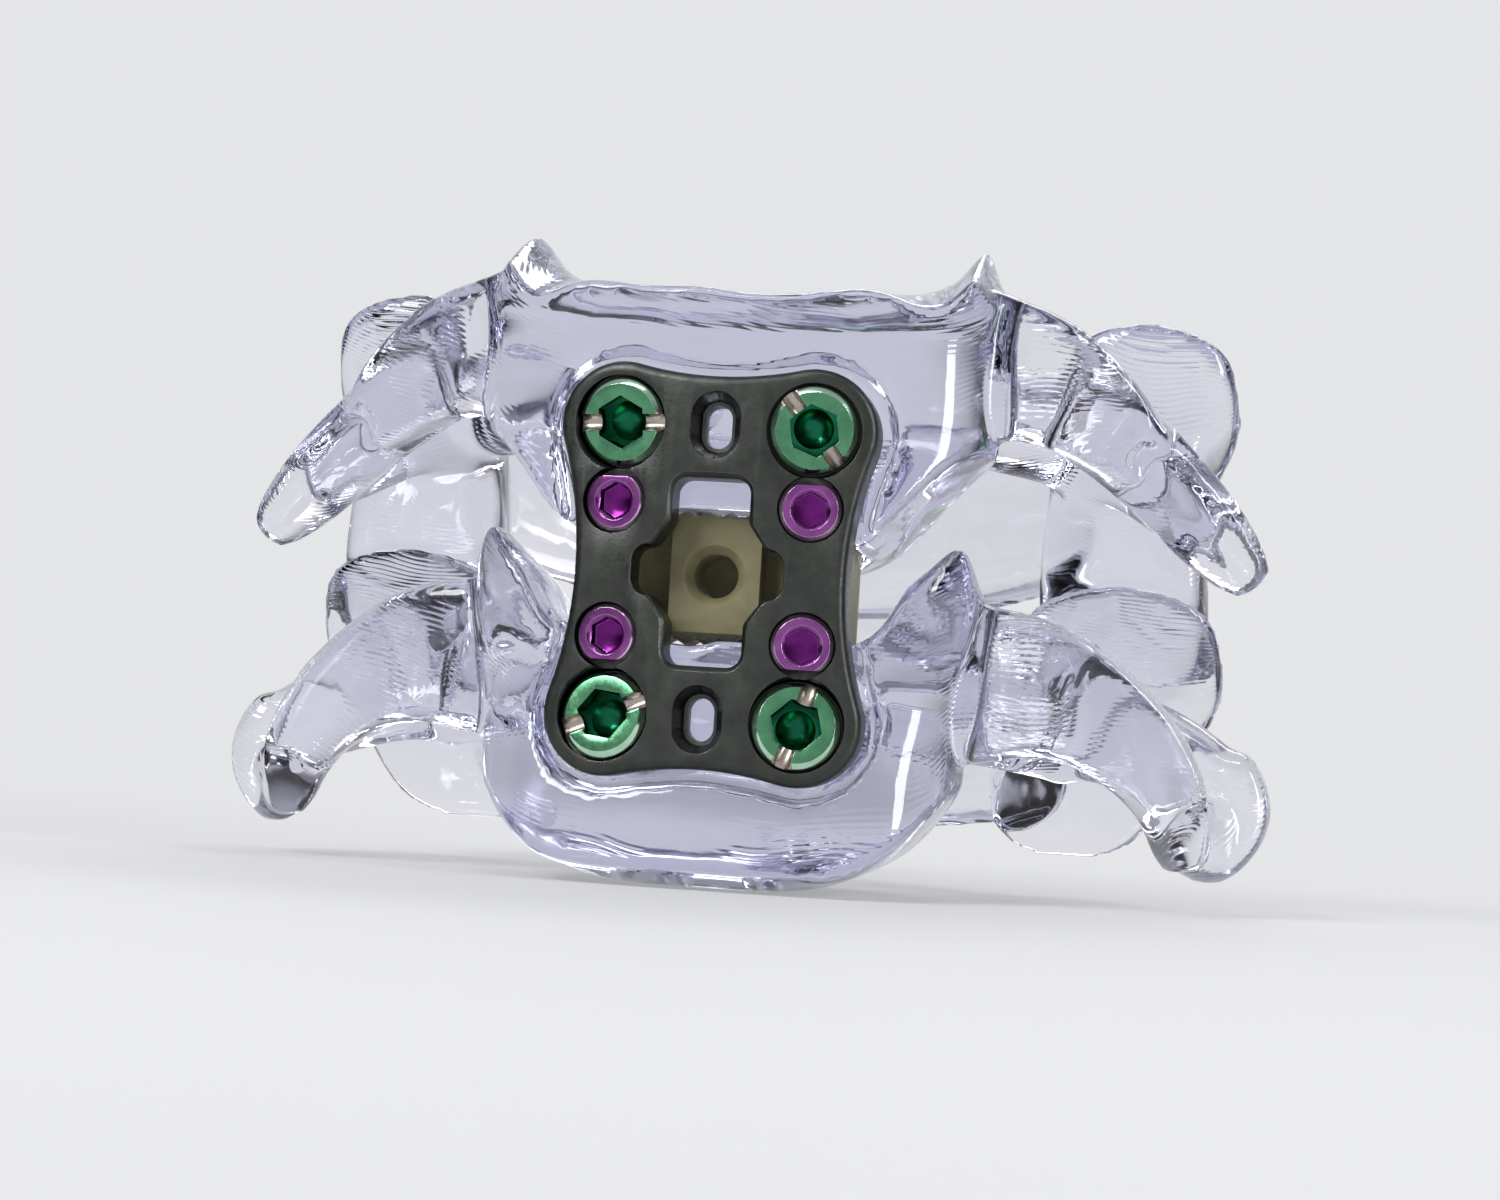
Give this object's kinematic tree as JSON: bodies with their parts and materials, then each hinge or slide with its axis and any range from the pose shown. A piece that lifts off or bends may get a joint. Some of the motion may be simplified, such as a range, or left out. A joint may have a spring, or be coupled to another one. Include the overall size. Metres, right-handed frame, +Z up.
{
  "type": "spinal interbody cage demonstration model",
  "caption": "Interbody cage between two clear neck vertebrae, held by a screwed front plate, as a standing demonstration model.",
  "frame": {"origin": "centre of the bounding box's base, on the floor that the model stands on", "axes": "+X to the picture's right, +Y from the plate towards the spinous processes, +Z up the spine"},
  "size_m": [0.0606, 0.0524, 0.0363],
  "materials": {
    "clear_resin": "clear, glossy",
    "implant_polymer": "satin, machined",
    "dark_titanium": "matte, blasted",
    "green_titanium": "anodised green",
    "purple_titanium": "anodised purple",
    "marker_metal": "polished"
  },
  "bodies": {
    "root": {"upper_vertebra": "clear_resin", "lower_vertebra": "clear_resin", "interbody_cage": "implant_polymer", "front_plate": "dark_titanium", "cage_marker_front_left": "marker_metal", "cage_marker_front_right": "marker_metal", "cage_marker_rear": "marker_metal", "bone_screw_upper_left": "green_titanium", "bone_screw_upper_right": "green_titanium", "bone_screw_lower_left": "green_titanium", "bone_screw_lower_right": "green_titanium", "lock_screw_upper_left": "purple_titanium", "lock_screw_upper_right": "purple_titanium", "lock_screw_lower_left": "purple_titanium", "lock_screw_lower_right": "purple_titanium"}
  },
  "joints": []
}
